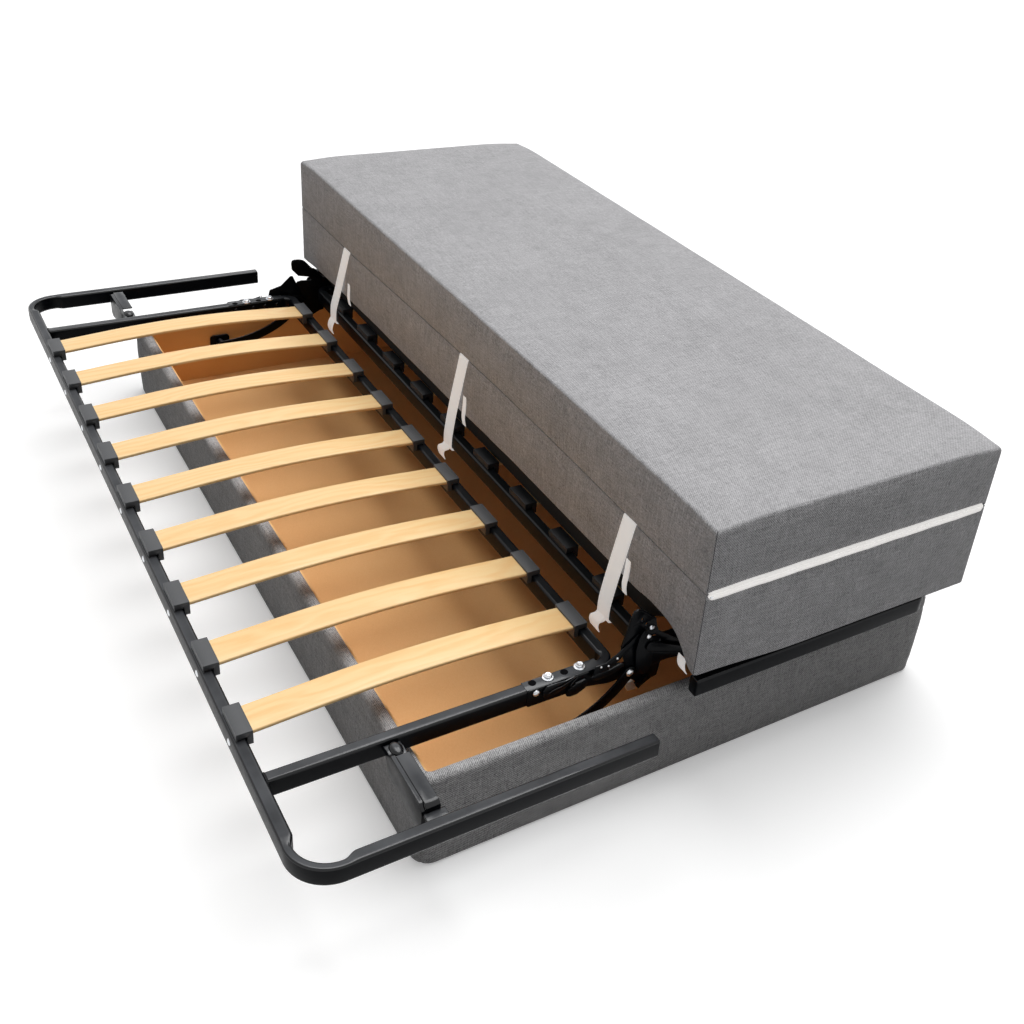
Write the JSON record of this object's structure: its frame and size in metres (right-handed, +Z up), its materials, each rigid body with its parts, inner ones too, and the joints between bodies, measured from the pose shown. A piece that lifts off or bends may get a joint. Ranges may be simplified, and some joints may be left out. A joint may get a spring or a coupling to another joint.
{
  "type": "sofa bed",
  "caption": "Fold-flat sofa bed: upholstered storage base, hinged front and rear slatted steel sections, and a mattress folded double that opens forward over the slats.",
  "frame": {"origin": "centre of the overall footprint, on the floor", "axes": "+X along the sofa, +Y towards its back, +Z up"},
  "size_m": [2.164, 1.4529, 0.6144],
  "materials": {
    "base_fabric": "woven grey upholstery",
    "mattress_fabric": "woven grey ticking",
    "fibreboard": "smooth brown hardboard",
    "black_steel": "satin black powder coat",
    "birch": "clear lacquered birch ply",
    "plastic": "fine-grained black plastic",
    "webbing": "off-white elastic webbing"
  },
  "bodies": {
    "base": {"base_box": "base_fabric", "base_bottom": "fibreboard", "base_liner": "fibreboard", "support_arm_left": "black_steel", "support_arm_right": "black_steel"},
    "front_section": {"front_hoop": "black_steel", "front_rail_frame": "black_steel", "front_slat_1": "birch", "front_slat_2": "birch", "front_slat_3": "birch", "front_slat_4": "birch", "front_slat_5": "birch", "front_slat_6": "birch", "front_slat_7": "birch", "front_slat_8": "birch", "front_slat_9": "birch", "front_slat_cap_1_outer": "plastic", "front_slat_cap_2_outer": "plastic", "front_slat_cap_3_outer": "plastic", "front_slat_cap_4_outer": "plastic", "front_slat_cap_5_outer": "plastic", "front_slat_cap_6_outer": "plastic", "front_slat_cap_7_outer": "plastic", "front_slat_cap_8_outer": "plastic", "front_slat_cap_9_outer": "plastic", "front_slat_cap_1_inner": "plastic", "front_slat_cap_2_inner": "plastic", "front_slat_cap_3_inner": "plastic", "front_slat_cap_4_inner": "plastic", "front_slat_cap_5_inner": "plastic", "front_slat_cap_6_inner": "plastic", "front_slat_cap_7_inner": "plastic", "front_slat_cap_8_inner": "plastic", "front_slat_cap_9_inner": "plastic", "front_arm_bracket_left": "black_steel", "front_arm_bracket_right": "black_steel", "front_hinge_plate_left": "black_steel", "front_hinge_plate_right": "black_steel"},
    "swing_links": {"swing_link_left": "black_steel", "swing_link_right": "black_steel"},
    "rear_section": {"rear_hoop": "black_steel", "rear_rail_frame": "black_steel", "rear_slat_1": "birch", "rear_slat_2": "birch", "rear_slat_3": "birch", "rear_slat_4": "birch", "rear_slat_5": "birch", "rear_slat_6": "birch", "rear_slat_7": "birch", "rear_slat_8": "birch", "rear_slat_9": "birch", "rear_hinge_plate_left": "black_steel", "rear_hinge_plate_right": "black_steel", "mattress_lower": "mattress_fabric", "strap_1": "webbing", "strap_2": "webbing", "strap_3": "webbing"},
    "mattress_flap": {"mattress_upper": "mattress_fabric", "mattress_zip": "webbing"}
  },
  "joints": [
    {"name": "backrest_fold", "type": "hinge", "parent": "swing_links", "child": "rear_section", "pos_m": [0, 0.008, 0.282], "axis": [1, 0, 0], "range_deg": [0, 127.6]},
    {"name": "link_swing", "type": "hinge", "parent": "base", "child": "swing_links", "pos_m": [0, 0.2, 0.186], "axis": [-1, 0, 0], "range_deg": [0, 55.7]},
    {"name": "seat_tilt", "type": "hinge", "parent": "base", "child": "front_section", "pos_m": [0, -0.028, 0.227], "axis": [-1, 0, 0], "range_deg": [0, 6.1]},
    {"name": "mattress_open", "type": "hinge", "parent": "rear_section", "child": "mattress_flap", "pos_m": [0, 0.0265, 0.45625], "axis": [1, 0, 0], "range_deg": [0, 104]}
  ],
  "couplings": [
    {"joint": "link_swing", "follows": "backrest_fold", "ratio": 0.43574},
    {"joint": "seat_tilt", "follows": "backrest_fold", "ratio": 0.04702}
  ]
}
